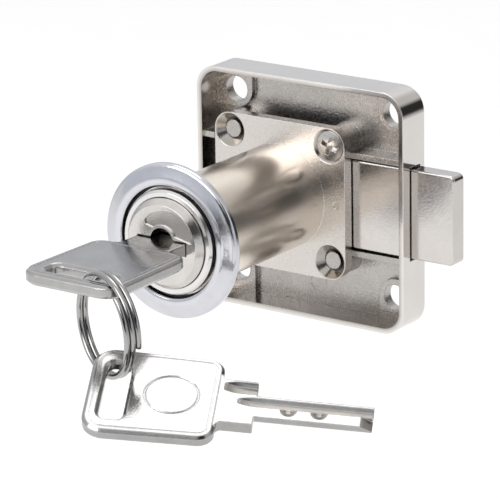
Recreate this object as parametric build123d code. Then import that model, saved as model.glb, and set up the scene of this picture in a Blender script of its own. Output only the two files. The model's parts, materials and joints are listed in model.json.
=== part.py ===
from build123d import *
import math
import os

# A drawer lock: an open tray case that is screwed behind a drawer front, a long barrel that
# passes through the front, and a bolt that a half turn of the key pulls back into the case.
# Millimetres. +X is the way the bolt points, -Y is the key side, +Z is up.
# The origin is the centre of the four wood-screw holes, on the case's back face.

os.makedirs("parts", exist_ok=True)

# Case, a cast tray that is open towards the drawer front
case_width = 41.8
case_height = 41.8
case_depth = 6.9
case_wall = 0.9
case_corner_radius = 4.2
case_back_edge = 0.5
floor_thickness = 1.1
screw_spacing_x = 32.0
screw_spacing_z = 32.0
screw_hole_radius = 2.2
pad_rim = 1.0
pad_height = 0.9
rail_thickness = 1.0
rail_stub_drop = 0.4
floor_mark_radius = 1.6
floor_mark_depth = 0.08
floor_mark_place = (-0.1, -16.3)

# Barrel, one casting with its square fixing flange
axis_offset = -4.0
flange_size = 26.5
flange_thickness = 2.0
flange_corner_radius = 3.2
flange_side_gap = 0.4
barrel_radius = 9.1
barrel_length = 32.3
neck_step = 0.2
neck_length = 1.6
rim_chamfer = 0.4
rim_width = 1.45
bore_radius = 5.55
running_gap = 0.05
flange_mark_radius = 0.6
flange_mark_depth = 0.12
flange_mark_place = (7.5, 0.0)

# Flange fixing: two pegs cast on the case and two countersunk screws
fixing_spacing = 20.2
fixing_hole_radius = 1.65
countersink_radius = 3.0
post_radius = 2.9
peg_radius = 1.5
peg_height = 1.0
flange_screw_head_radius = 2.6
flange_screw_shank_radius = 1.35
flange_screw_reach = 3.6
flange_screw_crown = 0.35
thread_gap = 0.05
cross_width = 0.8
cross_span = 3.2
cross_depth = 1.2
cross_turn = 20.0

# Plug, the part that the key turns
plug_head_length = 2.0
plug_proud = 0.35
plug_bevel_width = 0.9
plug_bevel_rise = 1.05
head_gap = 0.1
keyhole_radius = 2.35
keyhole_rise = 0.55
keyhole_depth = 3.0
keyhole_collar = 0.5
crescent_radius = 5.8
crescent_shift = 0.9
crescent_base = 2.3
crescent_turn = 13.0
crescent_corner = 0.7
crescent_depth = 0.25
key_seat_depth = 0.9
keyway_gap = 0.1
ward_gap = 0.12

# Clip that holds the plug in the barrel, in a recess behind the flange
clip_thickness = 0.6
clip_radius = 6.9
clip_groove_depth = 0.9
clip_opening = 4.0
clip_gap = 0.05
clip_recess_depth = 1.3

# Cam pin and bolt
throw_radius = 4.3
cam_pin_radius = 1.2
cam_pin_root = 0.3
bolt_height = 15.5
bolt_thickness = 2.9
bolt_reach = 8.5
bolt_tail = 3.0
bolt_corner_radius = 1.0
bolt_edge = 0.3
slide_gap = 0.08
bolt_front_gap = 0.3
rail_gap = 0.3
window_gap = 0.35
cam_play = 0.1

# Pin tumblers, in a row under the key
tumbler_count = 3
tumbler_pitch = 4.8
first_tumbler = 5.9
chamber_radius = 1.0
tumbler_gap = 0.04
key_pin_tip = 0.4
key_pin_tip_radius = 0.32
shear_gap = 0.04
driver_length = 1.5
cover_inset = 0.8
spring_wall = 0.3
cover_width = 2.8
cover_margin = 1.4
cover_seat = 0.02

# Keys, both cut alike
key_thickness = 2.2
bow_length = 20.75
bow_width_end = 19.4
bow_width_neck = 18.4
bow_corner_radius = 3.6
bow_neck_radius = 2.6
bow_edge = 0.5
bow_line_inset = 1.0
bow_line = 0.25
bow_line_depth = 0.06
bow_end_wall = 2.4
bow_slot_width = 3.9
bow_slot_length = 12.8
bow_slot_radius = 1.3
bow_slot_edge = 0.55
medallion_radius = 4.4
medallion_line = 0.35
medallion_depth = 0.15
medallion_place = 13.2
shoulder_width = 9.7
shoulder_length = 5.65
shoulder_seat = 0.65
shoulder_step = 0.12
shoulder_edge = 0.3
shoulder_root = 1.0
shoulder_root_sink = 0.05
blade_width = 4.7
blade_shift = -0.7
blade_back_bevel = 0.9
key_length = 44.85
groove_width = 2.05
groove_shift = 0.2
groove_depth = 0.7
groove_slope = 0.5
groove_start = 27.1
cutter_radius = 12.0
wing_cut_width = 2.6
wing_cut_inset = 0.3
wing_cut_depth = 0.9
wing_cut_flat = 1.1
dimple_count = 2
dimple_shift = -1.05
dimple_radius = 1.7
dimple_floor_radius = 0.35
dimple_depth = 0.5
tip_ramp_length = 2.2
tip_ramp_drop = 1.0

# Split ring that joins the keys, a little over two turns of round wire
ring_radius = 8.23
ring_wire = 0.95
ring_pitch = 1.37
ring_turns = 2.17
ring_start_angle = -48.0
ring_axis_way = (0.409, 0.912, 0.036)

# Where the ring passes through each bow's slot, and how the spare key lies
front_crossing_u = 4.27
front_crossing_v = 1.18
front_crossing_angle = 225.1
spare_crossing_u = 4.63
spare_crossing_v = 4.59
spare_crossing_angle = 62.3
spare_blade_way = (0.870, 0.487, -0.082)
spare_face_way = (0.255, -0.302, 0.919)

# Trim ring, a loose domed rosette for the outside of the drawer front
trim_radius = 13.1
trim_bore_gap = 0.1
trim_lip_gap = 0.35
trim_lip_width = 1.0
trim_lip_drop = 0.55
trim_setback = 2.1
trim_height = 1.85
trim_edge_height = 0.6
trim_shoulder_radius = 12.1
trim_shoulder_height = 1.35
trim_web = 0.7
trim_sleeve = 1.0
trim_hollow_radius = 11.6
trim_hollow_depth = 0.8

# Cutting shapes run this far past the faces that they open
overcut = 1.0

# Levels along the lock's axis, worked out from the sizes above
rim_level = -case_depth
floor_level = -floor_thickness
flange_back = rim_level + flange_thickness
bolt_front = flange_back + bolt_front_gap
bolt_back = bolt_front + bolt_thickness
bed_level = bolt_back + slide_gap
barrel_front = rim_level - barrel_length
plug_rim = barrel_front - plug_proud
plug_face = plug_rim - plug_bevel_rise
head_seat = barrel_front + plug_head_length
shoulder_level = plug_face + shoulder_seat
key_end_level = shoulder_level - shoulder_length - bow_length

inner_half_width = case_width / 2 - case_wall
inner_half_height = case_height / 2 - case_wall
channel_half = bolt_height / 2 + rail_gap
plug_radius = bore_radius - running_gap
neck_radius = barrel_radius - neck_step
plug_head_radius = barrel_radius - rim_width
chamber_top = barrel_radius - cover_inset
trim_front_bore = barrel_radius + trim_lip_gap
fixing_half = fixing_spacing / 2


def block(x0, x1, y0, y1, z0, z1):
    """A box between two corners."""
    centre = ((x0 + x1) / 2, (y0 + y1) / 2, (z0 + z1) / 2)
    return Pos(*centre) * Box(abs(x1 - x0), abs(y1 - y0), abs(z1 - z0))


def rod(radius, y0, y1, x=axis_offset, z=0.0):
    """A cylinder along the lock's axis direction."""
    return Pos(x, (y0 + y1) / 2, z) * Rot(90, 0, 0) * Cylinder(radius, abs(y1 - y0))


def cone(radius0, y0, radius1, y1, x=axis_offset, z=0.0):
    """A cone along Y with radius0 at y0 and radius1 at y1, where y0 is nearer the key side."""
    height = abs(y1 - y0)
    return Pos(x, (y0 + y1) / 2, z) * Rot(-90, 0, 0) * Cone(radius0, radius1, height)


def fixing_place(side_x, side_z):
    """Centre of one flange fixing."""
    return axis_offset + side_x * fixing_half, side_z * fixing_half


def make_case():
    """Open tray with screw pads, bolt rails, screw posts and locating pegs."""
    shell = block(-case_width / 2, case_width / 2, rim_level, 0, -case_height / 2, case_height / 2)
    shell = fillet(shell.edges().filter_by(Axis.Y), case_corner_radius)
    shell = fillet(shell.faces().sort_by(Axis.Y)[-1].edges(), case_back_edge)
    hollow = block(
        -inner_half_width,
        inner_half_width,
        rim_level - overcut,
        floor_level,
        -inner_half_height,
        inner_half_height,
    )
    inner = fillet(hollow.edges().filter_by(Axis.Y), case_corner_radius - case_wall)
    case = shell - inner

    pad_half = screw_hole_radius + pad_rim
    for side_x in (-1, 1):
        for side_z in (-1, 1):
            edge_x = side_x * (screw_spacing_x / 2 - pad_half)
            edge_z = side_z * (screw_spacing_z / 2 - pad_half)
            pad = block(
                edge_x,
                side_x * case_width / 2,
                floor_level - pad_height,
                floor_level + floor_thickness / 2,
                edge_z,
                side_z * case_height / 2,
            )
            near_edge = pad.edges().filter_by(Axis.Y).sort_by_distance((edge_x, floor_level, edge_z))[0]
            pad = fillet(near_edge, pad_half)
            case += pad & shell

    rail_outer = channel_half + rail_thickness
    bed = block(
        -inner_half_width, inner_half_width, bed_level, floor_level, -channel_half, channel_half
    )
    rails = block(
        -inner_half_width, inner_half_width, flange_back, floor_level, -rail_outer, rail_outer
    )
    flange_left = axis_offset - flange_size / 2
    stubs = block(
        -inner_half_width,
        flange_left - flange_side_gap,
        rim_level + rail_stub_drop,
        floor_level,
        -rail_outer,
        rail_outer,
    )
    channel = block(
        -inner_half_width, inner_half_width, rim_level - overcut, bed_level, -channel_half, channel_half
    )
    case += bed + rails + stubs
    for side_x in (-1, 1):
        for side_z in (-1, 1):
            x, z = fixing_place(side_x, side_z)
            case += rod(post_radius, flange_back, floor_level, x, z)
    case -= channel

    for side_x, side_z in ((-1, 1), (1, -1)):
        x, z = fixing_place(side_x, side_z)
        case += rod(peg_radius, flange_back - peg_height, flange_back + peg_height, x, z)
    thread_radius = flange_screw_shank_radius + thread_gap
    for side_x, side_z in ((1, 1), (-1, -1)):
        x, z = fixing_place(side_x, side_z)
        case -= rod(thread_radius, flange_back - overcut, flange_back + flange_screw_reach + thread_gap, x, z)

    window_half = bolt_height / 2 + window_gap
    case -= block(
        inner_half_width - overcut,
        case_width / 2 + overcut,
        flange_back,
        bed_level,
        -window_half,
        window_half,
    )
    mark_x, mark_z = floor_mark_place
    case -= rod(floor_mark_radius, floor_level - overcut, floor_level + floor_mark_depth, mark_x, mark_z)
    for side_x in (-1, 1):
        for side_z in (-1, 1):
            case -= rod(
                screw_hole_radius,
                rim_level,
                overcut,
                side_x * screw_spacing_x / 2,
                side_z * screw_spacing_z / 2,
            )
    return case


def make_barrel():
    """Barrel tube with its square flange, bored for the plug and the pin chambers."""
    half = flange_size / 2
    flange = block(axis_offset - half, axis_offset + half, rim_level, flange_back, -half, half)
    flange = fillet(flange.edges().filter_by(Axis.Y), flange_corner_radius)
    neck_back = barrel_front + neck_length
    tube = rod(barrel_radius, neck_back, rim_level + flange_thickness / 2)
    neck = rod(neck_radius, barrel_front, neck_back)
    neck = chamfer(neck.faces().sort_by(Axis.Y)[0].edges(), rim_chamfer)
    barrel = flange + tube + neck

    barrel -= rod(bore_radius, barrel_front - overcut, flange_back + overcut)
    barrel -= rod(plug_head_radius + head_gap, barrel_front - overcut, head_seat)
    barrel -= rod(clip_radius + head_gap, flange_back - clip_recess_depth, flange_back + overcut)
    mark_x, mark_z = flange_mark_place
    barrel -= rod(flange_mark_radius, rim_level - overcut, rim_level + flange_mark_depth, mark_x, mark_z)

    for side_x in (-1, 1):
        for side_z in (-1, 1):
            x, z = fixing_place(side_x, side_z)
            barrel -= rod(fixing_hole_radius, rim_level - overcut, flange_back + overcut, x, z)
            sink = countersink_radius - fixing_hole_radius
            barrel -= cone(countersink_radius, rim_level, fixing_hole_radius, rim_level + sink, x, z)

    for y in tumbler_levels():
        chamber = Pos(tumbler_x(), y, -chamber_top / 2) * Cylinder(chamber_radius, chamber_top)
        barrel -= chamber
    barrel -= cover_bar(0.0)
    return barrel


def tumbler_x():
    """The pin row stands under the key's dimples."""
    return axis_offset + dimple_shift


def tumbler_levels():
    """Where the pins stand along the plug."""
    return [plug_face + first_tumbler + i * tumbler_pitch for i in range(tumbler_count)]


def cover_bar(gap):
    """Bar under the pin chambers, smaller by the gap all round."""
    levels = tumbler_levels()
    reach = chamber_radius + cover_margin
    half = cover_width / 2 - gap
    return block(
        tumbler_x() - half,
        tumbler_x() + half,
        levels[0] - reach + gap,
        levels[-1] + reach - gap,
        -barrel_radius - overcut,
        -chamber_top - gap,
    )


def make_cover():
    """Filler strip that closes the pin chambers, rounded like the barrel."""
    return cover_bar(cover_seat) & rod(barrel_radius, barrel_front, rim_level)


def keyway(gap):
    """Space that the key's blade needs in the plug, with its ward left standing."""
    half = key_thickness / 2 + gap
    low = axis_offset + blade_shift - blade_width / 2 - gap
    high = axis_offset + blade_shift + blade_width / 2 + gap
    back = key_end_level + key_length + 2 * gap
    slot = block(low, high, plug_face - overcut, back, -half, half)
    ward_half = groove_width / 2 - ward_gap
    ward_x = axis_offset + groove_shift
    ward = block(
        ward_x - ward_half,
        ward_x + ward_half,
        key_end_level + groove_start + ward_gap,
        back + overcut,
        -half - overcut,
        -key_thickness / 2 + groove_depth - ward_gap,
    )
    ward = chamfer(ward.edges().filter_by(Axis.Y).group_by(Axis.Z)[-1], groove_slope)
    return slot - ward


def make_plug():
    """Plug with its bevelled head, keyway, clip groove and eccentric cam pin."""
    plug = rod(plug_head_radius, plug_rim, head_seat - head_gap)
    plug += cone(plug_head_radius - plug_bevel_width, plug_face, plug_head_radius, plug_rim)
    plug_end = flange_back - head_gap
    plug += rod(plug_radius, head_seat - 2 * head_gap, plug_end)
    clip_back = flange_back - clip_recess_depth + 2 * clip_gap + clip_thickness
    clip_front = clip_back - clip_thickness - 2 * clip_gap
    groove = rod(plug_radius + overcut, clip_front, clip_back)
    groove -= rod(plug_radius - clip_groove_depth, clip_front - overcut, clip_back + overcut)
    plug -= groove
    plug -= rod(keyhole_radius, plug_face - overcut, plug_face + keyhole_depth, z=keyhole_rise)
    plug -= crescent_cut()

    seat_half = shoulder_width / 2 + keyway_gap
    seat_height = key_thickness / 2 + keyway_gap
    plug -= block(
        axis_offset - seat_half,
        axis_offset + seat_half,
        plug_face - overcut,
        plug_face + key_seat_depth,
        -seat_height,
        seat_height,
    )
    plug -= keyway(keyway_gap)
    pin_run = plug_radius + overcut
    for y in tumbler_levels():
        plug -= Pos(tumbler_x(), y, -pin_run / 2) * Cylinder(chamber_radius, pin_run)
    pin_x = axis_offset + throw_radius
    plug += rod(cam_pin_radius, plug_end - cam_pin_root, bolt_back - slide_gap, pin_x)
    return plug


def crescent_cut():
    """Shallow recess above the keyhole, leaving a collar round it."""
    outline = Pos(crescent_shift, 0) * Circle(crescent_radius)
    above = Pos(0, crescent_base + crescent_radius) * Rectangle(4 * crescent_radius, 2 * crescent_radius)
    outline &= Rot(0, 0, -crescent_turn) * above
    outline = fillet(outline.vertices(), crescent_corner)
    outline -= Pos(0, keyhole_rise) * Circle(keyhole_radius + keyhole_collar)
    face = Plane(origin=(axis_offset, plug_face + crescent_depth, 0), x_dir=(1, 0, 0), z_dir=(0, -1, 0))
    return extrude(face * outline, crescent_depth + overcut)


def make_clip():
    """Open ring in the plug's groove, resting in the recess behind the flange."""
    front = flange_back - clip_recess_depth + clip_gap
    clip = rod(clip_radius, front, front + clip_thickness)
    cut_front = front - overcut
    cut_back = front + clip_thickness + overcut
    clip -= rod(plug_radius - clip_groove_depth + clip_gap, cut_front, cut_back)
    left = axis_offset - clip_opening / 2
    clip -= block(left, left + clip_opening, cut_front, cut_back, 0, clip_radius + overcut)
    return clip


def cam_swing():
    """How far the turning pin strays from an evenly sliding bolt, at most."""
    angle = math.asin(2 / math.pi)
    return throw_radius * (math.cos(angle) + 2 * angle / math.pi - 1)


def make_bolt():
    """Flat bolt with a closed slot for the cam pin."""
    slot_x = axis_offset + throw_radius
    slot_half = cam_pin_radius + cam_swing() + cam_play
    tail = slot_x - slot_half - bolt_tail
    nose = case_width / 2 + bolt_reach
    bolt = block(tail, nose, bolt_front, bolt_back, -bolt_height / 2, bolt_height / 2)
    bolt = fillet(bolt.edges().filter_by(Axis.Y), bolt_corner_radius)
    bolt = fillet(bolt.faces().sort_by(Axis.Y)[0].edges(), bolt_edge)
    bolt -= block(
        slot_x - slot_half,
        slot_x + slot_half,
        bolt_front - overcut,
        bolt_back + overcut,
        -cam_pin_radius - cam_play,
        throw_radius + cam_pin_radius + cam_play,
    )
    return bolt


def make_flange_screw(side_x, side_z):
    """Countersunk screw with a cross recess."""
    x, z = fixing_place(side_x, side_z)
    head_sink = countersink_radius - flange_screw_head_radius - thread_gap
    head_level = rim_level + head_sink
    cone_depth = flange_screw_head_radius - flange_screw_shank_radius
    shank_level = head_level + cone_depth
    head = cone(flange_screw_head_radius, head_level, flange_screw_shank_radius, shank_level, x, z)
    shank = rod(flange_screw_shank_radius, shank_level - thread_gap, flange_back + flange_screw_reach, x, z)
    crown_radius = (flange_screw_head_radius**2 + flange_screw_crown**2) / (2 * flange_screw_crown)
    crown = Pos(x, head_level - flange_screw_crown + crown_radius, z) * Sphere(crown_radius)
    crown &= rod(flange_screw_head_radius, head_level - flange_screw_crown, head_level, x, z)
    screw = head + shank + crown
    long_half = cross_span / 2
    short_half = cross_width / 2
    recess = block(-long_half, long_half, -overcut, cross_depth, -short_half, short_half)
    recess += block(-short_half, short_half, -overcut, cross_depth, -long_half, long_half)
    return screw - Pos(x, head_level - flange_screw_crown, z) * Rot(0, cross_turn, 0) * recess


def make_key_pin(y):
    """Pin with a coned tip, held level with the plug's edge while the key is in."""
    radius = chamber_radius - tumbler_gap
    outer = abs(dimple_shift) + radius
    low = -math.sqrt(plug_radius**2 - outer**2) + shear_gap
    high = -key_thickness / 2 - shear_gap
    stem_top = high - key_pin_tip
    stem = Pos(tumbler_x(), y, (low + stem_top) / 2) * Cylinder(radius, stem_top - low)
    tip = Pos(tumbler_x(), y, (stem_top + high) / 2) * Cone(radius, key_pin_tip_radius, key_pin_tip)
    return stem + tip


def make_driver(y):
    """Driver pin just outside the plug."""
    radius = chamber_radius - tumbler_gap
    high = -bore_radius - shear_gap
    return Pos(tumbler_x(), y, high - driver_length / 2) * Cylinder(radius, driver_length)


def make_spring(y):
    """Sleeve in the place of a driver's small spring."""
    radius = chamber_radius - tumbler_gap
    high = -bore_radius - 2 * shear_gap - driver_length
    low = -chamber_top + shear_gap
    place = Pos(tumbler_x(), y, (low + high) / 2)
    return place * (Cylinder(radius, high - low) - Cylinder(radius - spring_wall, high - low))


def make_trim_ring():
    """Domed rosette that slides on the barrel, hollow behind, with its lip curled in to the bore."""
    back = barrel_front + trim_setback
    front = back - trim_height
    bore = barrel_radius + trim_bore_gap
    edge = back - trim_edge_height
    lip = trim_front_bore + trim_lip_width
    shoulder = (trim_shoulder_radius, back - trim_shoulder_height)
    dome = Spline((trim_radius, edge), shoulder, (lip, front), tangents=((0, -1), (-1, 0)))
    curl = Spline((lip, front), (trim_front_bore, front + trim_lip_drop), tangents=((-1, 0), (0, 1)))
    inside = Polyline(
        (trim_front_bore, front + trim_lip_drop),
        (trim_front_bore, back - trim_web),
        (bore, back - trim_web),
        (bore, back),
        (trim_radius, back),
        (trim_radius, edge),
    )
    section = Pos(axis_offset, 0, 0) * make_face(dome + curl + inside)
    ring = revolve(section, Axis((axis_offset, 0, 0), (0, 1, 0)), 360)
    hollow = rod(trim_hollow_radius, back - trim_hollow_depth, back + overcut)
    return ring - (hollow - rod(bore + trim_sleeve, back - 2 * trim_hollow_depth, back + 2 * overcut))


def make_bow():
    """Flat bow with its slot for the ring, a line round both faces and a plain ring on one."""
    half = key_thickness / 2
    corners = [
        (0, -bow_width_end / 2),
        (bow_length, -bow_width_neck / 2),
        (bow_length, bow_width_neck / 2),
        (0, bow_width_end / 2),
    ]
    outline = make_face(Polyline(*corners, close=True))
    outline = fillet(outline.vertices().group_by(Axis.X)[0], bow_corner_radius)
    outline = fillet(outline.vertices().group_by(Axis.X)[-1], bow_neck_radius)
    bow = extrude(outline, half, both=True)
    bow = chamfer(bow.faces().filter_by(Axis.Z).edges(), bow_edge)
    slot_place = bow_end_wall + bow_slot_width / 2
    slot = Box(bow_slot_width, bow_slot_length, 2 * key_thickness)
    bow -= Pos(slot_place, 0, 0) * fillet(slot.edges().filter_by(Axis.Z), bow_slot_radius)
    slot_rims = [
        edge
        for edge in bow.faces().filter_by(Axis.Z).edges()
        if abs(edge.center().X - slot_place) < bow_slot_width / 2 + bow_slot_edge
        and abs(edge.center().Y) < bow_slot_length / 2 + bow_slot_edge
    ]
    bow = chamfer(slot_rims, bow_slot_edge)
    line_ring = Cylinder(medallion_radius, 2 * medallion_depth)
    line_ring -= Cylinder(medallion_radius - medallion_line, 2 * medallion_depth)
    bow -= Pos(medallion_place, 0, half) * line_ring
    border = offset(outline, -bow_line_inset) - offset(outline, -bow_line_inset - bow_line)
    border = extrude(border, bow_line_depth, both=True)
    return bow - Pos(0, 0, half) * border - Pos(0, 0, -half) * border


def shoulder_roots(thin):
    """Small hollow curves where the shoulders leave the bow."""
    side = shoulder_width / 2
    roots = block(
        bow_length - overcut,
        bow_length + shoulder_root,
        -side - shoulder_root,
        side + shoulder_root,
        -thin / 2,
        thin / 2,
    )
    for way in (-1, 1):
        centre = Pos(bow_length + shoulder_root, way * (side + shoulder_root), 0)
        roots -= centre * Cylinder(shoulder_root + shoulder_root_sink, key_thickness)
    return roots


def groove_cut(start, length, shift, width, depth):
    """Milled groove with sloping sides that runs up to the surface where the cutter left it."""
    top = key_thickness / 2 + overcut
    floor = key_thickness / 2 - depth
    bar = Pos(start + length / 2, shift, (floor + top) / 2) * Box(length, width, top - floor)
    low_edges = bar.edges().filter_by(Axis.X).group_by(Axis.Z)[0]
    bar = chamfer(low_edges, groove_slope)
    wheel = chamfer(Cylinder(cutter_radius, width).edges().filter_by(GeomType.CIRCLE), groove_slope)
    return bar + Pos(start, shift, floor + cutter_radius) * Rot(90, 0, 0) * wheel


def make_key():
    """Key lying flat, from the bow's end at the origin to its tip along +X."""
    half = key_thickness / 2
    shoulder_end = bow_length + shoulder_length
    thin = key_thickness - 2 * shoulder_step
    shoulder_run = shoulder_length + overcut
    shoulder = Pos(shoulder_end - shoulder_run / 2, 0, 0) * Box(shoulder_run, shoulder_width, thin)
    shoulder = fillet(shoulder.faces().sort_by(Axis.X)[-1].edges().filter_by(Axis.Z), shoulder_edge)
    blade_run = key_length - shoulder_end + overcut
    blade = Pos(key_length - blade_run / 2, blade_shift, 0) * Box(blade_run, blade_width, thin)
    blade = chamfer(blade.faces().sort_by(Axis.Z)[0].edges().sort_by(Axis.Y)[0], blade_back_bevel)
    key = make_bow() + shoulder + shoulder_roots(thin) + blade

    groove_run = key_length + overcut - groove_start
    key -= groove_cut(groove_start, groove_run, groove_shift, groove_width, groove_depth)
    wing_place = shoulder_width / 2 - wing_cut_inset - wing_cut_width / 2
    wing_start = shoulder_end - wing_cut_flat
    wing_run = wing_cut_flat + overcut
    key -= groove_cut(wing_start, wing_run, wing_place, wing_cut_width, wing_cut_depth)
    for y in tumbler_levels()[:dimple_count]:
        place = Pos(y - key_end_level, dimple_shift, half - dimple_depth / 2)
        key -= place * Cone(dimple_floor_radius, dimple_radius, dimple_depth)
    ramp_start = key_length - tip_ramp_length
    ramp_low = half - tip_ramp_drop
    ramp_end = key_length + overcut
    ramp = make_face(
        Polyline(
            (ramp_start, half), (ramp_end, half), (ramp_end, ramp_low), (key_length, ramp_low), close=True
        )
    )
    ramp = extrude(Plane.XZ * ramp, blade_width / 2, both=True)
    return key - Pos(0, groove_shift - groove_width / 2 - blade_width / 2, 0) * ramp


def ring_frame():
    """Directions of the split ring: its axis and two directions in its plane."""
    axis = Vector(ring_axis_way).normalized()
    first = axis.cross(Vector(0, 0, 1)).normalized()
    return axis, first, axis.cross(first)


def ring_spoke(angle):
    """From the ring's centre to its wire's middle turn, at an angle in degrees."""
    axis, first, second = ring_frame()
    turn = math.radians(angle)
    return (first * math.cos(turn) + second * math.sin(turn)) * ring_radius


def front_key_place():
    """The front key lies flat in the plug with its cut face down."""
    return Plane(origin=(axis_offset, key_end_level, 0), x_dir=(0, 1, 0), z_dir=(0, 0, -1))


def ring_centre():
    """The ring passes through the front key's slot at the stated place."""
    crossing = front_key_place().from_local_coords(Vector(front_crossing_u, front_crossing_v, 0))
    return crossing - ring_spoke(front_crossing_angle)


def spare_key_place():
    """The spare key hangs where the ring passes through its slot."""
    place = Plane(origin=(0, 0, 0), x_dir=spare_blade_way, z_dir=spare_face_way)
    crossing = place.from_local_coords(Vector(spare_crossing_u, spare_crossing_v, 0))
    origin = ring_centre() + ring_spoke(spare_crossing_angle) - crossing
    return Plane(origin=origin, x_dir=spare_blade_way, z_dir=spare_face_way)


def ring_point(angle):
    """A point of the wire's centre line and its direction, at a running angle in radians."""
    axis, first, second = ring_frame()
    rise = ring_pitch / (2 * math.pi)
    middle = math.pi * ring_turns
    turn = math.radians(ring_start_angle) + angle
    spoke = first * math.cos(turn) + second * math.sin(turn)
    along = second * math.cos(turn) - first * math.sin(turn)
    point = ring_centre() + spoke * ring_radius + axis * (rise * (angle - middle))
    return point, (along * ring_radius + axis * rise).normalized()


def make_ring():
    """Round wire wound a little over two turns, swept on pairs of arcs a quarter turn long."""
    total = 2 * math.pi * ring_turns
    steps = math.ceil(total / (math.pi / 2))
    stations = [ring_point(total * i / steps) for i in range(steps + 1)]
    arcs = []
    for (start, way_in), (end, way_out) in zip(stations, stations[1:]):
        chord = end - start
        spread = 2 * (way_in.dot(way_out) - 1)
        pull = 2 * chord.dot(way_in + way_out)
        reach = (pull - math.sqrt(pull**2 - 4 * spread * chord.dot(chord))) / (2 * spread)
        knee_in = start + way_in * reach
        knee_out = end - way_out * reach
        middle = (knee_in + knee_out) * 0.5
        arcs.append(TangentArc(start, middle, tangent=way_in))
        arcs.append(TangentArc(middle, end, tangent=knee_out - knee_in))
    path = Wire([arc.edge() for arc in arcs])
    first_point, first_way = stations[0]
    section = Plane(origin=first_point, z_dir=first_way) * Circle(ring_wire / 2)
    return sweep(section, path=path)


def ring_gap():
    """Least gap between neighbouring turns, measured on points."""
    total = 2 * math.pi * ring_turns
    count = 240
    points = [ring_point(total * i / count)[0] for i in range(count + 1)]
    skip = round(count / ring_turns / 2)
    least = min(
        (points[i] - points[j]).length for i in range(count + 1) for j in range(i + skip, count + 1)
    )
    return least - ring_wire


nodes = {
    "case": make_case(),
    "bolt": make_bolt(),
    "barrel": make_barrel(),
    "flange_screws": Compound([make_flange_screw(1, 1), make_flange_screw(-1, -1)]),
    "chamber_cover": make_cover(),
    "plug": make_plug(),
    "retaining_clip": make_clip(),
    "trim_ring": make_trim_ring(),
    "key_front": front_key_place() * make_key(),
    "key_spare": spare_key_place() * make_key(),
    "key_ring": make_ring(),
}
for number, level in enumerate(tumbler_levels(), start=1):
    nodes[f"key_pin_{number}"] = make_key_pin(level)
    nodes[f"driver_pin_{number}"] = make_driver(level)
    nodes[f"driver_spring_{number}"] = make_spring(level)

for name, shape in nodes.items():
    export_step(shape, f"parts/{name}.step")

print("least gap between the split ring's turns:", round(ring_gap(), 3), "mm")
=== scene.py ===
import bpy
import bmesh
import json
import math
from mathutils import Matrix, Vector


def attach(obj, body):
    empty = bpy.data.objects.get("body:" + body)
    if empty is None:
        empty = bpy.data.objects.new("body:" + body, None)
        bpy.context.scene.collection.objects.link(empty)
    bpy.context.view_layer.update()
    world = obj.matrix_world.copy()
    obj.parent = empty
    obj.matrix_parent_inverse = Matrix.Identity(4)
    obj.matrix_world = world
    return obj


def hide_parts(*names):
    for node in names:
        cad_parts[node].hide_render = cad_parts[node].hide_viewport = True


# Drawer lock with two keys on a split ring, nickel plated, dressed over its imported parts.
# Everything is in metres: +X is the bolt's way, -Y the key side, +Z up.

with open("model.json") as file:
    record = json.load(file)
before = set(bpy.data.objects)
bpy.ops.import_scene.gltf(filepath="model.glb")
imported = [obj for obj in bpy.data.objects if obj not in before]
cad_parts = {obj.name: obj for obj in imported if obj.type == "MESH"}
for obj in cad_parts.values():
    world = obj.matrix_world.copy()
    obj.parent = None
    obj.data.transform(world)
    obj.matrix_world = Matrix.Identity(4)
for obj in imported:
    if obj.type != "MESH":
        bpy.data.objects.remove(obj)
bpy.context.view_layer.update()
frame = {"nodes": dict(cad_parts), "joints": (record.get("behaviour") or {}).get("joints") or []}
parts = frame["nodes"]
joints = {joint["name"]: joint for joint in frame["joints"]}
axisX = joints["plug_turn"]["pos_m"][0]  # the lock's axis lies along Y at this x and z = 0
print("frame loaded:", len(parts), "parts")


# helpers
def addObject(name, data):
    thing = bpy.data.objects.new(name, data)
    bpy.context.scene.collection.objects.link(thing)
    return thing


def newMaterial(name):
    material = bpy.data.materials.new(name)
    material.use_nodes = True
    tree = material.node_tree
    return material, tree, tree.nodes["Principled BSDF"]


def feed(tree, value, socket):  # another node's output is linked, anything else is set
    if isinstance(value, bpy.types.NodeSocket):
        tree.links.new(value, socket)
    else:
        socket.default_value = value


def newGroup(name, inputs, outputs):  # inputs and outputs give each socket's label and kind
    group = bpy.data.node_groups.new(name, "ShaderNodeTree")
    for way, sockets in (("INPUT", inputs), ("OUTPUT", outputs)):
        for label, kind in sockets.items():
            group.interface.new_socket(label, in_out=way, socket_type="NodeSocket" + kind)
    given = group.nodes.new("NodeGroupInput").outputs
    result = group.nodes.new("NodeGroupOutput").inputs
    return group, given, result


def mathNode(tree, operation, first, second=0.0):
    node = tree.nodes.new("ShaderNodeMath")
    node.operation = operation
    feed(tree, first, node.inputs[0])
    feed(tree, second, node.inputs[1])
    return node.outputs[0]


def dotNode(tree, first, second):
    node = tree.nodes.new("ShaderNodeVectorMath")
    node.operation = "DOT_PRODUCT"
    feed(tree, first, node.inputs[0])
    feed(tree, second, node.inputs[1])
    return node.outputs["Value"]


def axesOf(tree, vector):
    node = tree.nodes.new("ShaderNodeSeparateXYZ")
    feed(tree, vector, node.inputs[0])
    return node.outputs


def lengthOf(tree, first, second):  # length of a vector with these two components
    firstSquare = mathNode(tree, "MULTIPLY", first, first)
    secondSquare = mathNode(tree, "MULTIPLY", second, second)
    return mathNode(tree, "SQRT", mathNode(tree, "ADD", firstSquare, secondSquare))


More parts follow.
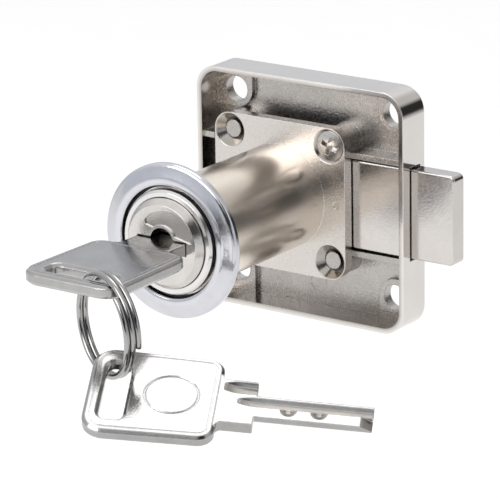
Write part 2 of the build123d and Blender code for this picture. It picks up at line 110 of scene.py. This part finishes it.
def remap(tree, value, fromLow, fromHigh, toLow, toHigh):
    node = tree.nodes.new("ShaderNodeMapRange")
    node.clamp = True
    feed(tree, value, node.inputs["Value"])
    ends = {"From Min": fromLow, "From Max": fromHigh, "To Min": toLow, "To Max": toHigh}
    for label, amount in ends.items():
        feed(tree, amount, node.inputs[label])
    return node.outputs["Result"]


def noiseNode(tree, coordinates, scale, detail, roughness):
    node = tree.nodes.new("ShaderNodeTexNoise")
    feed(tree, coordinates, node.inputs["Vector"])
    feed(tree, scale, node.inputs["Scale"])
    node.inputs["Detail"].default_value = detail
    node.inputs["Roughness"].default_value = roughness
    return node.outputs["Fac"]


# a mix node names its sockets alike for every kind of data, so they go by number here
def mixColour(tree, factor, first, second):
    node = tree.nodes.new("ShaderNodeMix")
    node.data_type = "RGBA"
    feed(tree, factor, node.inputs[0])
    feed(tree, first, node.inputs[6])
    feed(tree, second, node.inputs[7])
    return node.outputs[2]


def mixValue(tree, factor, first, second):
    node = tree.nodes.new("ShaderNodeMix")
    node.data_type = "FLOAT"
    feed(tree, factor, node.inputs[0])
    feed(tree, first, node.inputs[2])
    feed(tree, second, node.inputs[3])
    return node.outputs[0]


def rayKinds(tree):  # 1 for the camera's own rays, and 1 for mirrored and transmitted rays
    light = tree.nodes.new("ShaderNodeLightPath").outputs
    mirrored = mathNode(tree, "MAXIMUM", light["Is Glossy Ray"], light["Is Transmission Ray"])
    return light["Is Camera Ray"], mirrored


def place(tree, group, values):  # one copy of a shared effect in a material
    node = tree.nodes.new("ShaderNodeGroup")
    node.node_tree = group
    for label, value in values.items():
        feed(tree, value, node.inputs[label])
    return node.outputs


# shared effects
castSkin = {
    "smoothness": 0.6,
    "pebbleShare": 0.6,
    "fineScale": 0.9,  # against the pebbles' scale
    "fineDetail": 3.0,
    "fineRoughness": 0.6,
    "patchScale": 0.06,
    "patchDetail": 2.0,
    "patchRoughness": 0.55,
    "patchSpan": (0.35, 0.65),
    "patchLow": 0.35,
    "speckSpan": (0.45, 0.7),
}


def buildCastGrain(look):  # pebbled skin of a die casting under its plating
    inputs = {"Vector": "Vector", "Grain Size": "Float", "Patchiness": "Float"}
    group, given, result = newGroup("castGrain", inputs, {"Height": "Float", "Speck": "Float"})
    position = given["Vector"]
    scale = mathNode(group, "DIVIDE", 1.0, given["Grain Size"])
    pebble = group.nodes.new("ShaderNodeTexVoronoi")
    pebble.feature = "SMOOTH_F1"
    pebble.inputs["Smoothness"].default_value = look["smoothness"]
    feed(group, position, pebble.inputs["Vector"])
    feed(group, scale, pebble.inputs["Scale"])
    fineScale = mathNode(group, "MULTIPLY", scale, look["fineScale"])
    fine = noiseNode(group, position, fineScale, look["fineDetail"], look["fineRoughness"])
    patchScale = mathNode(group, "MULTIPLY", scale, look["patchScale"])
    patch = noiseNode(group, position, patchScale, look["patchDetail"], look["patchRoughness"])
    pebbles = mathNode(group, "MULTIPLY", pebble.outputs["Distance"], look["pebbleShare"])
    body = mathNode(group, "ADD", pebbles, fine)
    patchy = remap(group, patch, *look["patchSpan"], look["patchLow"], 1.0)
    strength = mixValue(group, given["Patchiness"], 1.0, patchy)
    feed(group, mathNode(group, "MULTIPLY", body, strength), result["Height"])
    feed(group, remap(group, fine, *look["speckSpan"], 0.0, 1.0), result["Speck"])
    return group


touchMarks = {
    "cloudDetail": 5.0,
    "cloudRoughness": 0.6,
    "rubDetail": 4.0,
    "rubRoughness": 0.65,
    "span": (0.3, 0.7),
}


def buildHandling(look):  # cloudy wear and fine rub marks from handling
    inputs = {"Vector": "Vector", "Cloud Size": "Float", "Rub Size": "Float"}
    group, given, result = newGroup("handling", inputs, {"Cloud": "Float", "Rub": "Float"})
    position = given["Vector"]
    cloudScale = mathNode(group, "DIVIDE", 1.0, given["Cloud Size"])
    cloud = noiseNode(group, position, cloudScale, look["cloudDetail"], look["cloudRoughness"])
    rubScale = mathNode(group, "DIVIDE", 1.0, given["Rub Size"])
    rub = noiseNode(group, position, rubScale, look["rubDetail"], look["rubRoughness"])
    feed(group, remap(group, cloud, *look["span"], 0.0, 1.0), result["Cloud"])
    feed(group, remap(group, rub, *look["span"], 0.0, 1.0), result["Rub"])
    return group


softEdges = {"samples": 6, "turnSpan": (0.995, 0.85)}


def buildEdgeWearAndHighlight(look):  # the plating rounds off and thins along edges, and a painted highlight lightens them
    group, given, result = newGroup("edgeWearAndHighlight", {"Width": "Float"}, {"Edge": "Float", "Normal": "Vector"})
    bevel = group.nodes.new("ShaderNodeBevel")
    bevel.samples = look["samples"]
    feed(group, given["Width"], bevel.inputs["Radius"])
    rounded = bevel.outputs["Normal"]
    normal = group.nodes.new("ShaderNodeNewGeometry").outputs["Normal"]
    turned = dotNode(group, rounded, normal)
    feed(group, remap(group, turned, *look["turnSpan"], 0.0, 1.0), result["Edge"])
    feed(group, rounded, result["Normal"])
    return group


castGrain = buildCastGrain(castSkin)
handling = buildHandling(touchMarks)
edgeWearAndHighlight = buildEdgeWearAndHighlight(softEdges)
print("shared effects built")


def plated(name, look):  # a nickel or chrome plated metal; look holds its finish
    material, tree, shader = newMaterial(name)
    position = tree.nodes.new("ShaderNodeTexCoord").outputs["Object"]
    grainValues = {"Vector": position, "Grain Size": look["grainSize"], "Patchiness": look["patchiness"]}
    grain = place(tree, castGrain, grainValues)
    touchValues = {"Vector": position, "Cloud Size": look["cloudSize"], "Rub Size": look["rubSize"]}
    touch = place(tree, handling, touchValues)
    edge = place(tree, edgeWearAndHighlight, {"Width": look["edgeWidth"]})

    base = mixColour(tree, touch["Cloud"], look["colour"], look["cloudColour"])
    speck = mathNode(tree, "MULTIPLY", grain["Speck"], look["speckAmount"])
    base = mixColour(tree, speck, base, look["speckColour"])
    rough = mixValue(tree, touch["Rub"], look["roughLow"], look["roughHigh"])
    height = grain["Height"]
    for zone in look.get("zones", ()):  # areas with a finish of their own
        inside = zone["mask"](tree, position, zone)
        tint = mixColour(tree, touch["Cloud"], zone["colour"], zone["cloudColour"])
        base = mixColour(tree, inside, base, tint)
        rough = mixValue(tree, inside, rough, zone["rough"])
        height = mathNode(tree, "MULTIPLY", height, remap(tree, inside, 0.0, 1.0, 1.0, zone["grain"]))
    # lighter edges: partly worn plating, partly a painted highlight along them
    wornAndHighlit = mathNode(tree, "MULTIPLY", edge["Edge"], look["edgeAmount"])
    feed(tree, mixColour(tree, wornAndHighlit, base, look["edgeColour"]), shader.inputs["Base Color"])
    feed(tree, rough, shader.inputs["Roughness"])
    shader.inputs["Metallic"].default_value = 1.0
    bump = tree.nodes.new("ShaderNodeBump")
    bump.inputs["Distance"].default_value = look["grainDepth"]
    feed(tree, height, bump.inputs["Height"])
    feed(tree, edge["Normal"], bump.inputs["Normal"])
    feed(tree, bump.outputs["Normal"], shader.inputs["Normal"])
    return material


def dress(name, material):
    slots = parts[name].material_slots
    if not slots:
        parts[name].data.materials.append(material)
    for slot in slots:
        slot.material = material


# zones round the lock's axis
def outwardMask(tree, position, zone):  # 1 on all that lies further out than a level
    return remap(tree, axesOf(tree, position)["Y"], *zone["level"], 1.0, 0.0)


def innerMask(tree, position, zone):  # 1 within a radius
    axes = axesOf(tree, position)
    across = mathNode(tree, "SUBTRACT", axes["X"], axisX)
    return remap(tree, lengthOf(tree, across, axes["Z"]), *zone["reach"], 1.0, 0.0)


def sunkMask(tree, position, zone):  # 1 within a radius and further in than a level
    sunk = remap(tree, axesOf(tree, position)["Y"], *zone["level"], 0.0, 1.0)
    return mathNode(tree, "MULTIPLY", sunk, innerMask(tree, position, zone))


# case
caseCornerCentre = 0.0167  # of the rounded corners, both in x and in z


def wallMask(tree, position, zone):  # 1 from a distance past the corners' centres outwards
    axes = axesOf(tree, position)
    past = []
    for axis in ("X", "Z"):
        over = mathNode(tree, "SUBTRACT", mathNode(tree, "ABSOLUTE", axes[axis]), caseCornerCentre)
        past.append(mathNode(tree, "MAXIMUM", over, 0.0))
    return remap(tree, lengthOf(tree, *past), *zone["past"], 0.0, 1.0)


caseLook = {
    # the tray floor's colour and cloud tint are painted shade, darker than the plating's own tone, for
    # the shade inside the tray
    "colour": (0.43, 0.405, 0.385, 1.0),
    "cloudColour": (0.49, 0.465, 0.445, 1.0),
    "speckColour": (0.30, 0.28, 0.265, 1.0),
    "speckAmount": 0.25,
    "edgeColour": (0.86, 0.85, 0.83, 1.0),
    "edgeAmount": 0.3,
    "edgeWidth": 0.0002,
    "grainSize": 0.00028,
    "patchiness": 0.5,
    "grainDepth": 0.00005,
    "cloudSize": 0.007,
    "rubSize": 0.0005,
    "roughLow": 0.22,
    "roughHigh": 0.34,
    "zones": [
        {  # the tray's inner walls, darkened with painted shade like the tray's floor
            "mask": wallMask,
            "past": (0.00322, 0.00326),
            "colour": (0.40, 0.37, 0.34, 1.0),
            "cloudColour": (0.46, 0.43, 0.40, 1.0),
            "rough": 0.14,
            "grain": 0.2,
        },
        {  # the outer walls and the rim
            "mask": wallMask,
            "past": (0.0034, 0.0040),
            "colour": (0.67, 0.64, 0.615, 1.0),
            "cloudColour": (0.71, 0.685, 0.66, 1.0),
            "rough": 0.10,
            "grain": 0.02,
        },
    ],
}
dress("case", plated("casePlated", caseLook))


# barrel and its flange
def sinkMask(tree, position, zone):  # 1 in the countersinks and holes of the square flange
    axes = axesOf(tree, position)
    acrossX = mathNode(tree, "ABSOLUTE", mathNode(tree, "SUBTRACT", axes["X"], axisX))
    across = mathNode(tree, "MAXIMUM", acrossX, mathNode(tree, "ABSOLUTE", axes["Z"]))
    within = remap(tree, across, *zone["reach"], 1.0, 0.0)
    return mathNode(tree, "MULTIPLY", within, remap(tree, axes["Y"], *zone["level"], 0.0, 1.0))


barrelLook = {
    "colour": (0.60, 0.565, 0.535, 1.0),
    "cloudColour": (0.64, 0.605, 0.575, 1.0),
    "speckColour": (0.48, 0.45, 0.42, 1.0),
    "speckAmount": 0.15,
    "edgeColour": (0.86, 0.85, 0.83, 1.0),
    "edgeAmount": 0.5,
    "edgeWidth": 0.00018,
    "grainSize": 0.00024,
    "patchiness": 0.7,
    "grainDepth": 0.00003,
    "cloudSize": 0.008,
    "rubSize": 0.0004,
    "roughLow": 0.20,
    "roughHigh": 0.30,
    "zones": [
        {  # the round barrel, in front of the cast flange
            "mask": outwardMask,
            "level": (-0.00700, -0.00692),
            "colour": (0.75, 0.68, 0.605, 1.0),
            "cloudColour": (0.79, 0.72, 0.645, 1.0),
            "rough": 0.24,
            "grain": 0.08,
        },
        {  # its turned outer end
            "mask": outwardMask,
            "level": (-0.03768, -0.03758),
            "colour": (0.68, 0.665, 0.65, 1.0),
            "cloudColour": (0.74, 0.725, 0.71, 1.0),
            "rough": 0.14,
            "grain": 0.5,
        },
        {  # the fixing holes, darkened with painted shade
            "mask": sinkMask,
            "reach": (0.01285, 0.01305),
            "level": (-0.00682, -0.00672),
            "colour": (0.36, 0.33, 0.30, 1.0),
            "cloudColour": (0.48, 0.45, 0.42, 1.0),
            "rough": 0.13,
            "grain": 0.3,
        },
    ],
}
barrelFinish = plated("barrelPlated", barrelLook)
dress("barrel", barrelFinish)
dress("chamber_cover", barrelFinish)

# bolt
boltLook = {
    "colour": (0.585, 0.555, 0.53, 1.0),
    "cloudColour": (0.63, 0.60, 0.575, 1.0),
    "speckColour": (0.48, 0.455, 0.43, 1.0),
    "speckAmount": 0.2,
    "edgeColour": (0.88, 0.87, 0.85, 1.0),
    "edgeAmount": 0.6,
    "edgeWidth": 0.00025,
    "grainSize": 0.0003,
    "patchiness": 0.8,
    "grainDepth": 0.000012,
    "cloudSize": 0.006,
    "rubSize": 0.0005,
    "roughLow": 0.12,
    "roughHigh": 0.22,
}
dress("bolt", plated("boltPlated", boltLook))

# plug
plugLook = {
    "colour": (0.58, 0.555, 0.53, 1.0),
    "cloudColour": (0.68, 0.655, 0.63, 1.0),
    "speckColour": (0.52, 0.495, 0.465, 1.0),
    "speckAmount": 0.15,
    "edgeColour": (0.92, 0.91, 0.89, 1.0),
    "edgeAmount": 0.6,
    "edgeWidth": 0.00012,
    "grainSize": 0.0003,
    "patchiness": 0.8,
    "grainDepth": 0.000014,
    "cloudSize": 0.004,
    "rubSize": 0.0004,
    "roughLow": 0.14,
    "roughHigh": 0.26,
    "zones": [
        {  # the floors of the crescent, the keyhole and the key's seat: rougher and grainier, and darkened with painted shade
            "mask": sunkMask,
            "level": (-0.04052, -0.04044),
            "reach": (0.0065, 0.0066),
            "colour": (0.44, 0.42, 0.395, 1.0),
            "cloudColour": (0.54, 0.515, 0.49, 1.0),
            "rough": 0.22,
            "grain": 1.5,
        },
    ],
}
dress("plug", plated("plugPlated", plugLook))

# trim ring
trimLook = {
    "colour": (0.60, 0.60, 0.635, 1.0),
    "cloudColour": (0.65, 0.65, 0.685, 1.0),
    "speckColour": (0.54, 0.54, 0.57, 1.0),
    "speckAmount": 0.1,
    "edgeColour": (0.90, 0.90, 0.91, 1.0),
    "edgeAmount": 0.3,
    "edgeWidth": 0.00012,
    "grainSize": 0.0012,
    "patchiness": 1.0,
    "grainDepth": 0.00001,
    "cloudSize": 0.003,
    "rubSize": 0.0006,
    "roughLow": 0.10,
    "roughHigh": 0.18,
    "zones": [
        {  # the wall that faces the barrel: near black painted shade for the dark gap between ring and barrel, and rougher
            "mask": innerMask,
            "reach": (0.00948, 0.00956),
            "colour": (0.035, 0.035, 0.038, 1.0),
            "cloudColour": (0.05, 0.05, 0.052, 1.0),
            "rough": 0.5,
            "grain": 1.0,
        },
    ],
}
dress("trim_ring", plated("trimChrome", trimLook))

# screws, clip and pins
screwLook = dict(boltLook, grainDepth=0.000006, roughLow=0.18, roughHigh=0.30, edgeWidth=0.0001)
dress("flange_screws", plated("screwSteel", screwLook))
springLook = dict(
    boltLook, colour=(0.42, 0.42, 0.43, 1.0), cloudColour=(0.50, 0.50, 0.51, 1.0), edgeWidth=0.00008
)
springFinish = plated("springSteel", springLook)
brassLook = dict(
    boltLook,
    colour=(0.62, 0.47, 0.20, 1.0),
    cloudColour=(0.68, 0.53, 0.25, 1.0),
    speckColour=(0.50, 0.37, 0.15, 1.0),
    edgeColour=(0.80, 0.66, 0.36, 1.0),
    edgeWidth=0.00008,
)
brassFinish = plated("turnedBrass", brassLook)
dress("retaining_clip", springFinish)
for name in parts:
    if "pin_" in name:
        dress(name, brassFinish)
    if "spring_" in name:
        dress(name, springFinish)


# keys
def flatFaces(name, likeness):  # a flat piece's facing, its middle level and half its thickness
    mesh = parts[name].data
    largest = max(mesh.polygons, key=lambda face: face.area).normal
    level = [face for face in mesh.polygons if face.normal.dot(largest) > likeness]
    facing = sum((face.normal * face.area for face in level), Vector()).normalized()
    heights = [facing.dot(corner.co) for corner in mesh.vertices]
    high, low = max(heights), min(heights)
    return {"facing": facing, "middle": (high + low) / 2, "half": (high - low) / 2}


def milledMask(tree, position, zone):  # 1 on the floors of the grooves and dimples
    height = mathNode(tree, "SUBTRACT", dotNode(tree, position, zone["facing"]), zone["middle"])
    deep, shallow = (zone["half"] - below for below in zone["below"])
    low = remap(tree, mathNode(tree, "ABSOLUTE", height), deep, shallow, 1.0, 0.0)
    normal = tree.nodes.new("ShaderNodeNewGeometry").outputs["Normal"]
    tilt = mathNode(tree, "ABSOLUTE", dotNode(tree, normal, zone["facing"]))
    return mathNode(tree, "MULTIPLY", low, remap(tree, tilt, *zone["tilt"], 0.0, 1.0))


keyLook = {
    "colour": (0.35, 0.345, 0.34, 1.0),
    "cloudColour": (0.42, 0.415, 0.41, 1.0),
    "speckColour": (0.38, 0.37, 0.36, 1.0),
    "speckAmount": 0.12,
    "edgeColour": (0.90, 0.89, 0.88, 1.0),
    "edgeAmount": 0.6,
    "edgeWidth": 0.00035,
    "grainSize": 0.00035,
    "patchiness": 0.8,
    "grainDepth": 0.00001,
    "cloudSize": 0.005,
    "rubSize": 0.0004,
    "roughLow": 0.12,
    "roughHigh": 0.22,
}
milledAndShadedLook = {
    "mask": milledMask,
    "likeness": 0.999,  # how nearly alike the flat faces' normals are
    "below": (0.00030, 0.00022),  # under the face: full at the first, none at the second
    "tilt": (0.75, 0.85),
    # the darker colour is painted shade on the groove and dimple floors; the rougher, grainier finish is
    # the milling's own
    "colour": (0.21, 0.195, 0.18, 1.0),
    "cloudColour": (0.31, 0.29, 0.27, 1.0),
    "rough": 0.34,
    "grain": 3.0,
}
for name in ("key_front", "key_spare"):
    milledAndShaded = dict(milledAndShadedLook, **flatFaces(name, milledAndShadedLook["likeness"]))
    dress(name, plated(name + "Nickel", dict(keyLook, zones=[milledAndShaded])))

# split ring
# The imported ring's turns stand apart. The real ones touch, so this piece is wound close.
ringShape = {
    "radius": 0.00823,
    "wire": 0.00098,
    "pitch": 0.00102,
    "turns": 2.17,
    "startAngle": -48.0,
    "sides": 20,
    "steps": 220,
    "endRound": 0.00012,
}
ringLook = dict(keyLook, roughLow=0.06, roughHigh=0.12, grainDepth=0.000003, edgeWidth=0.00008)


def buildSplitRing(shape):
    centre = Vector(joints["spare_round_ring"]["pos_m"])
    axis = Vector(joints["spare_round_ring"]["axis"]).normalized()
    first = axis.cross(Vector((0.0, 0.0, 1.0))).normalized()
    second = axis.cross(first)
    angle = math.radians(shape["startAngle"])
    spoke = first * math.cos(angle) + second * math.sin(angle)
    wireWay = second * math.cos(angle) - first * math.sin(angle)
    climb = axis * (shape["pitch"] * shape["turns"])
    start = centre + spoke * shape["radius"] - climb / 2
    section = Matrix.Translation(start) @ wireWay.to_track_quat("Z", "Y").to_matrix().to_4x4()
    wire = bmesh.new()
    bmesh.ops.create_circle(wire, segments=shape["sides"], radius=shape["wire"] / 2, matrix=section)
    bmesh.ops.spin(
        wire,
        geom=wire.verts[:] + wire.edges[:],
        cent=centre,
        axis=axis,
        dvec=climb / shape["steps"],
        angle=2 * math.pi * shape["turns"],
        steps=shape["steps"],
        use_duplicate=False,
    )
    rims = [edge for edge in wire.edges if edge.is_boundary]
    for face in wire.faces:
        face.smooth = True
    bmesh.ops.holes_fill(wire, edges=rims, sides=0)
    bmesh.ops.bevel(
        wire, geom=rims, offset=shape["endRound"], segments=2, profile=0.5, affect="EDGES", material=-1
    )
    bmesh.ops.recalc_face_normals(wire, faces=wire.faces)
    mesh = bpy.data.meshes.new("splitRing")
    wire.to_mesh(mesh)
    wire.free()
    ring = addObject("splitRing", mesh)
    mesh.materials.append(plated("ringWire", ringLook))
    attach(ring, "split_ring")
    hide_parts("key_ring")


buildSplitRing(ringShape)
print("materials placed")

# studio
# A white room as polished metal sees it: even light walls, a soft box behind and one in front, a
# low dark band beyond the table's edge before and behind, and a dark stand beside the lock.
# Angles are in degrees.
studio = {
    "overhead": (1.0, 1.0, 1.0, 1.0),
    "walls": (0.69, 0.72, 0.77, 1.0),
    "wallSpan": (0.1, 0.7),
    "fill": (0.5, 0.5, 0.5, 1.0),
    "bandBearing": 22.0,  # from -Y towards +X
    "bandHalfWidth": 26.0,
    "bandHeight": 6.5,  # above the horizon
    "bandHalfHeight": 14.0,
    "bandSoftness": 4.0,
    "darkTone": (0.03, 0.03, 0.03, 1.0),  # of the band and the stand
    "standToward": (0.77, -0.40, 0.49),
    "standInner": 14.0,
    "standOuter": 24.0,
    "dimToward": (0.42, 0.72, 0.55),  # the unlit back right of the room
    "dimTone": (0.65, 0.635, 0.62, 1.0),
    "dimInner": 8.0,
    "dimOuter": 30.0,
}
white = (1.0, 1.0, 1.0, 1.0)


def patchMask(tree, direction, toward, inner, outer):  # 1 within the inner angle, 0 beyond the outer
    node = tree.nodes.new("ShaderNodeMapRange")
    node.interpolation_type = "SMOOTHSTEP"
    feed(tree, dotNode(tree, direction, Vector(toward).normalized()), node.inputs["Value"])
    node.inputs["From Min"].default_value = math.cos(math.radians(outer))
    node.inputs["From Max"].default_value = math.cos(math.radians(inner))
    return node.outputs["Result"]


def bandMask(tree, direction, look):  # 1 inside the low dark band, which is alike for +Y and -Y
    axes = axesOf(tree, direction)
    folded = tree.nodes.new("ShaderNodeCombineXYZ")
    feed(tree, axes["X"], folded.inputs["X"])
    depth = mathNode(tree, "ABSOLUTE", axes["Y"])
    feed(tree, mathNode(tree, "MULTIPLY", depth, -1.0), folded.inputs["Y"])
    feed(tree, axes["Z"], folded.inputs["Z"])
    bearing = math.radians(look["bandBearing"])
    sideways = (math.cos(bearing), math.sin(bearing), 0.0)
    upwards = (0.0, 0.0, 1.0)
    band = 1.0
    for way, centre, half in (
        (sideways, 0.0, look["bandHalfWidth"]),
        (upwards, look["bandHeight"], look["bandHalfHeight"]),
    ):
        off = dotNode(tree, folded.outputs["Vector"], way)
        off = mathNode(tree, "SUBTRACT", off, math.sin(math.radians(centre)))
        inner = math.sin(math.radians(half - look["bandSoftness"]))
        outer = math.sin(math.radians(half + look["bandSoftness"]))
        within = remap(tree, mathNode(tree, "ABSOLUTE", off), inner, outer, 1.0, 0.0)
        band = mathNode(tree, "MULTIPLY", within, band)
    return band


# floor
floorLook = {
    "height": -0.11,
    "half": 3.0,
    "colour": (0.92, 0.92, 0.92, 1.0),
    "fibreColour": (0.90, 0.90, 0.90, 1.0),
    "fibreScale": 60.0,
    "fibreDetail": 3.0,
    "fibreRoughness": 0.55,
    "fibreSpan": (0.3, 0.7),
    "rough": 0.9,
    "glow": 0.35,
}


def buildFloor(look):
    mesh = bpy.data.meshes.new("floor")
    shape = bmesh.new()
    bmesh.ops.create_grid(shape, x_segments=1, y_segments=1, size=look["half"])
    bmesh.ops.translate(shape, verts=shape.verts, vec=(0, 0, look["height"]))
    shape.to_mesh(mesh)
    shape.free()
    floor = addObject("floor", mesh)
    material, tree, shader = newMaterial("floorPaper")
    position = tree.nodes.new("ShaderNodeTexCoord").outputs["Object"]
    fibre = noiseNode(tree, position, look["fibreScale"], look["fibreDetail"], look["fibreRoughness"])
    fibre = remap(tree, fibre, *look["fibreSpan"], 0.0, 1.0)
    base = mixColour(tree, fibre, look["colour"], look["fibreColour"])
    cameraRay, mirrored = rayKinds(tree)
    seen = mathNode(tree, "MAXIMUM", cameraRay, mirrored)
    bearing = tree.nodes.new("ShaderNodeVectorMath")
    bearing.operation = "NORMALIZE"
    feed(tree, position, bearing.inputs[0])
    beyond = mathNode(tree, "MULTIPLY", bandMask(tree, bearing.outputs["Vector"], studio), mirrored)
    feed(tree, mixColour(tree, beyond, base, studio["darkTone"]), shader.inputs["Base Color"])
    shader.inputs["Roughness"].default_value = look["rough"]
    glow = tree.nodes.new("ShaderNodeEmission")
    feed(tree, mixColour(tree, beyond, white, studio["darkTone"]), glow.inputs["Color"])
    glow.inputs["Strength"].default_value = look["glow"]
    blend = tree.nodes.new("ShaderNodeAddShader")
    feed(tree, shader.outputs["BSDF"], blend.inputs[0])
    feed(tree, glow.outputs["Emission"], blend.inputs[1])
    hidden = tree.nodes.new("ShaderNodeMixShader")
    feed(tree, seen, hidden.inputs["Fac"])
    feed(tree, shader.outputs["BSDF"], hidden.inputs[1])
    feed(tree, blend.outputs["Shader"], hidden.inputs[2])
    feed(tree, hidden.outputs["Shader"], tree.nodes["Material Output"].inputs["Surface"])
    floor.data.materials.append(material)


buildFloor(floorLook)
print("floor laid")


def buildWorld(look):
    world = bpy.data.worlds.new("studio")
    bpy.context.scene.world = world
    world.use_nodes = True
    tree = world.node_tree
    background = tree.nodes["Background"]
    direction = tree.nodes.new("ShaderNodeTexCoord").outputs["Generated"]
    height = remap(tree, axesOf(tree, direction)["Z"], *look["wallSpan"], 0.0, 1.0)
    room = mixColour(tree, height, look["walls"], look["overhead"])
    dim = patchMask(tree, direction, look["dimToward"], look["dimInner"], look["dimOuter"])
    room = mixColour(tree, dim, room, look["dimTone"])
    stand = patchMask(tree, direction, look["standToward"], look["standInner"], look["standOuter"])
    dark = mathNode(tree, "MAXIMUM", bandMask(tree, direction, look), stand)
    room = mixColour(tree, dark, room, look["darkTone"])
    cameraRay, mirrored = rayKinds(tree)
    room = mixColour(tree, mirrored, look["fill"], room)
    feed(tree, mixColour(tree, cameraRay, room, white), background.inputs["Color"])
    background.inputs["Strength"].default_value = 1.0


buildWorld(studio)

lamps = {
    "frontBox": {"from": (-0.15, -0.63, 0.42), "width": 0.60, "height": 0.36, "power": 2.0},
    "topBox": {"from": (-0.18, 0.31, 0.71), "width": 0.42, "height": 0.42, "power": 1.4},
}
for name, look in lamps.items():
    lamp = bpy.data.lights.new(name, "AREA")
    lamp.shape = "RECTANGLE"
    lamp.size = look["width"]
    lamp.size_y = look["height"]
    lamp.energy = look["power"]
    box = addObject(name, lamp)
    box.visible_camera = False
    spot = Vector(look["from"])
    facing = (-spot).to_track_quat("-Z", "Y").to_matrix().to_4x4()
    box.matrix_world = Matrix.Translation(spot) @ facing
print("studio lit")

# camera
cameraLook = {
    "position": (0.354374, -0.519953, 0.184024),
    "turn": (72.809, 0.931, 35.121),  # degrees
    "lens": 277.4,  # millimetres, on a sensor 36 wide
    "sensor": 36.0,
    "near": 0.01,
}
cameraData = bpy.data.cameras.new("photoCamera")
cameraData.sensor_width = cameraLook["sensor"]
cameraData.lens = cameraLook["lens"]
cameraData.clip_start = cameraLook["near"]
camera = addObject("photoCamera", cameraData)
camera.location = cameraLook["position"]
camera.rotation_euler = [math.radians(angle) for angle in cameraLook["turn"]]
bpy.context.scene.camera = camera
bpy.context.scene.view_settings.view_transform = "Standard"
